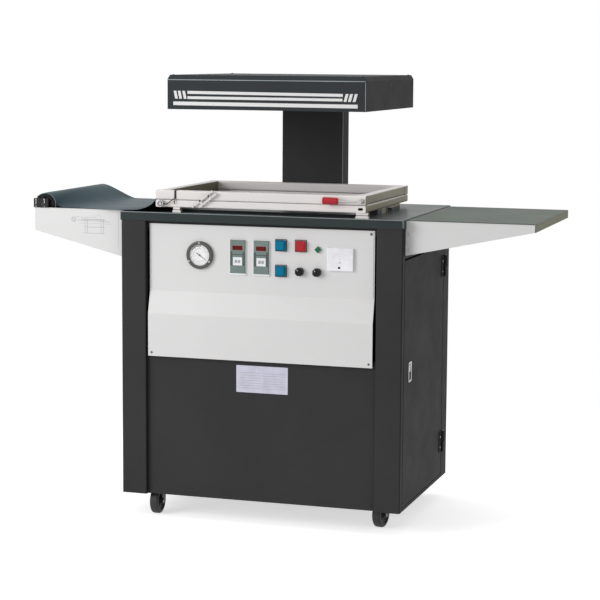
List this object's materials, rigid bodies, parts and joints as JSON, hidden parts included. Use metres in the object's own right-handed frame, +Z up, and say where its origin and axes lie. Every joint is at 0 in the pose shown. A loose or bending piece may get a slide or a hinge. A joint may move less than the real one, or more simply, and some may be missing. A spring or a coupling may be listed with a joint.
{
  "type": "vacuum skin packaging machine",
  "caption": "Wheeled cabinet with a vacuum table, hinged and lifting film frame, film roll tray, outfeed tray and an overhead heater hood on a rear column.",
  "frame": {"origin": "on the floor, under the middle of the whole machine's outline", "axes": "+Z up, +Y from the control panel towards the rear column, +X towards the outfeed tray"},
  "size_m": [1.418, 0.5818, 1.221],
  "materials": {
    "charcoal_paint": "semi-matt charcoal powder coat",
    "hood_paint": "semi-matt dark grey powder coat",
    "table_paint": "satin dark teal-grey enamel",
    "white_paint": "satin off-white paint",
    "cream_paint": "satin cream paint, worn at edges",
    "tray_paint": "satin grey-green enamel",
    "steel": "zinc-plated, slightly dull",
    "black_metal": "satin black coating",
    "bright_steel": "bright reflector sheet",
    "aluminium": "milled",
    "heater": "matt sheathed heater rod",
    "gauge_metal": "bright bezel",
    "timer_plastic": "grey-green moulded",
    "white_plastic": "gloss",
    "black_plastic": "matt moulded",
    "blue_plastic": "gloss",
    "red_plastic": "gloss",
    "green_lens": "gloss lens",
    "rubber": "matt",
    "film": "glossy translucent film"
  },
  "bodies": {
    "cabinet": {"base_pan": "charcoal_paint", "left_front_pillar": "charcoal_paint", "right_front_pillar": "charcoal_paint", "left_side_panel": "charcoal_paint", "rear_panel": "charcoal_paint", "right_rear_post": "charcoal_paint", "door_rails": "charcoal_paint", "door_hinges": "black_metal", "lower_front_panel": "charcoal_paint", "front_cross_rail": "charcoal_paint", "control_panel": "white_paint", "table_top": "table_paint", "vacuum_platen": "aluminium", "guide_blocks": "cream_paint", "column": "charcoal_paint", "hood_skirt": "hood_paint", "hood_lid": "hood_paint", "heater_reflector": "bright_steel", "heater_elements": "heater", "film_tray": "white_paint", "roll_holders": "black_plastic", "film_web": "film", "outfeed_cheeks": "white_paint", "outfeed_deck": "tray_paint", "vacuum_gauge": "gauge_metal", "timers": "timer_plastic", "pilot_lamp": "green_lens", "panel_meter": "white_plastic", "caster_plates": "black_metal"},
    "door": {"side_door": "charcoal_paint", "door_latch": "gauge_metal"},
    "lift": {"lower_frame": "cream_paint", "corner_knob": "gauge_metal", "guide_rods": "steel", "toggle_stud": "steel"},
    "clamp": {"upper_frame": "cream_paint", "lever_pivot": "steel"},
    "lever": {"clamp_lever": "steel", "lever_grip": "red_plastic"},
    "toggle": {"toggle_latch": "steel"},
    "roll": {"film_roll": "film", "roll_core": "black_plastic", "roll_shaft": "steel"},
    "vacuum_switch": {"vacuum_button": "blue_plastic"},
    "heat_switch": {"heat_button": "blue_plastic"},
    "stop_switch": {"stop_button": "red_plastic"},
    "left_dial": {"knob_left": "black_plastic"},
    "right_dial": {"knob_right": "black_plastic"},
    "swivel_front_left": {"caster_fork_front_left": "black_metal"},
    "wheel_front_left": {"caster_wheel_front_left": "rubber"},
    "swivel_front_right": {"caster_fork_front_right": "black_metal"},
    "wheel_front_right": {"caster_wheel_front_right": "rubber"},
    "swivel_rear_left": {"caster_fork_rear_left": "black_metal"},
    "wheel_rear_left": {"caster_wheel_rear_left": "rubber"},
    "swivel_rear_right": {"caster_fork_rear_right": "black_metal"},
    "wheel_rear_right": {"caster_wheel_rear_right": "rubber"}
  },
  "joints": [
    {"name": "door_swing", "type": "hinge", "parent": "cabinet", "child": "door", "pos_m": [0.369, 0.20544, 0.425], "axis": [0, 0, 1], "range_deg": [0, 110]},
    {"name": "frame_lift", "type": "slide", "parent": "cabinet", "child": "lift", "axis": [0, 0, 1], "range_m": [0, 0.18], "deforming": ["film_web"]},
    {"name": "clamp_open", "type": "hinge", "parent": "lift", "child": "clamp", "pos_m": [-0.034, 0.18394, 0.885], "axis": [1, 0, 0], "range_deg": [-20, 0]},
    {"name": "lever_turn", "type": "hinge", "parent": "clamp", "child": "lever", "pos_m": [0.252, -0.28105, 0.896], "axis": [0, 1, 0], "range_deg": [0, 90]},
    {"name": "toggle_turn", "type": "hinge", "parent": "lift", "child": "toggle", "pos_m": [-0.219, -0.27105, 0.869], "axis": [0, 1, 0], "range_deg": [0, 38]},
    {"name": "roll_spin", "type": "hinge", "parent": "cabinet", "child": "roll", "pos_m": [-0.677, -0.22506, 0.858], "axis": [0, 1, 0], "continuous": true},
    {"name": "vacuum_button_press", "type": "slide", "parent": "cabinet", "child": "vacuum_switch", "axis": [0, 1, 0], "range_m": [0, 0.003], "stiffness_N_per_m": 600, "springref_m": -0.001},
    {"name": "heat_button_press", "type": "slide", "parent": "cabinet", "child": "heat_switch", "axis": [0, 1, 0], "range_m": [0, 0.003], "stiffness_N_per_m": 600, "springref_m": -0.001},
    {"name": "stop_button_press", "type": "slide", "parent": "cabinet", "child": "stop_switch", "axis": [0, 1, 0], "range_m": [0, 0.003], "stiffness_N_per_m": 600, "springref_m": -0.001},
    {"name": "knob_left_turn", "type": "hinge", "parent": "cabinet", "child": "left_dial", "pos_m": [0.0785, -0.25205, 0.702], "axis": [0, -1, 0], "range_deg": [-135, 135]},
    {"name": "knob_right_turn", "type": "hinge", "parent": "cabinet", "child": "right_dial", "pos_m": [0.127, -0.25205, 0.702], "axis": [0, -1, 0], "range_deg": [-135, 135]},
    {"name": "swivel_front_left", "type": "hinge", "parent": "cabinet", "child": "swivel_front_left", "pos_m": [-0.35, -0.18505, 0.096], "axis": [0, 0, 1], "continuous": true},
    {"name": "wheel_spin_front_left", "type": "hinge", "parent": "swivel_front_left", "child": "wheel_front_left", "pos_m": [-0.34916, -0.20904, 0.0372], "axis": [0.9994, 0.0349, 0], "continuous": true},
    {"name": "swivel_front_right", "type": "hinge", "parent": "cabinet", "child": "swivel_front_right", "pos_m": [0.282, -0.18505, 0.096], "axis": [0, 0, 1], "continuous": true},
    {"name": "wheel_spin_front_right", "type": "hinge", "parent": "swivel_front_right", "child": "wheel_front_right", "pos_m": [0.28534, -0.16129, 0.0372], "axis": [-0.9903, 0.1392, 0], "continuous": true},
    {"name": "swivel_rear_left", "type": "hinge", "parent": "cabinet", "child": "swivel_rear_left", "pos_m": [-0.35, 0.19095, 0.096], "axis": [0, 0, 1], "continuous": true},
    {"name": "wheel_spin_rear_left", "type": "hinge", "parent": "swivel_rear_left", "child": "wheel_rear_left", "pos_m": [-0.35581, 0.21423, 0.0372], "axis": [-0.9703, -0.2419, 0], "continuous": true},
    {"name": "swivel_rear_right", "type": "hinge", "parent": "cabinet", "child": "swivel_rear_right", "pos_m": [0.282, 0.19095, 0.096], "axis": [0, 0, 1], "continuous": true},
    {"name": "wheel_spin_rear_right", "type": "hinge", "parent": "swivel_rear_right", "child": "wheel_rear_right", "pos_m": [0.28821, 0.21413, 0.0372], "axis": [-0.9659, 0.2588, 0], "continuous": true}
  ]
}
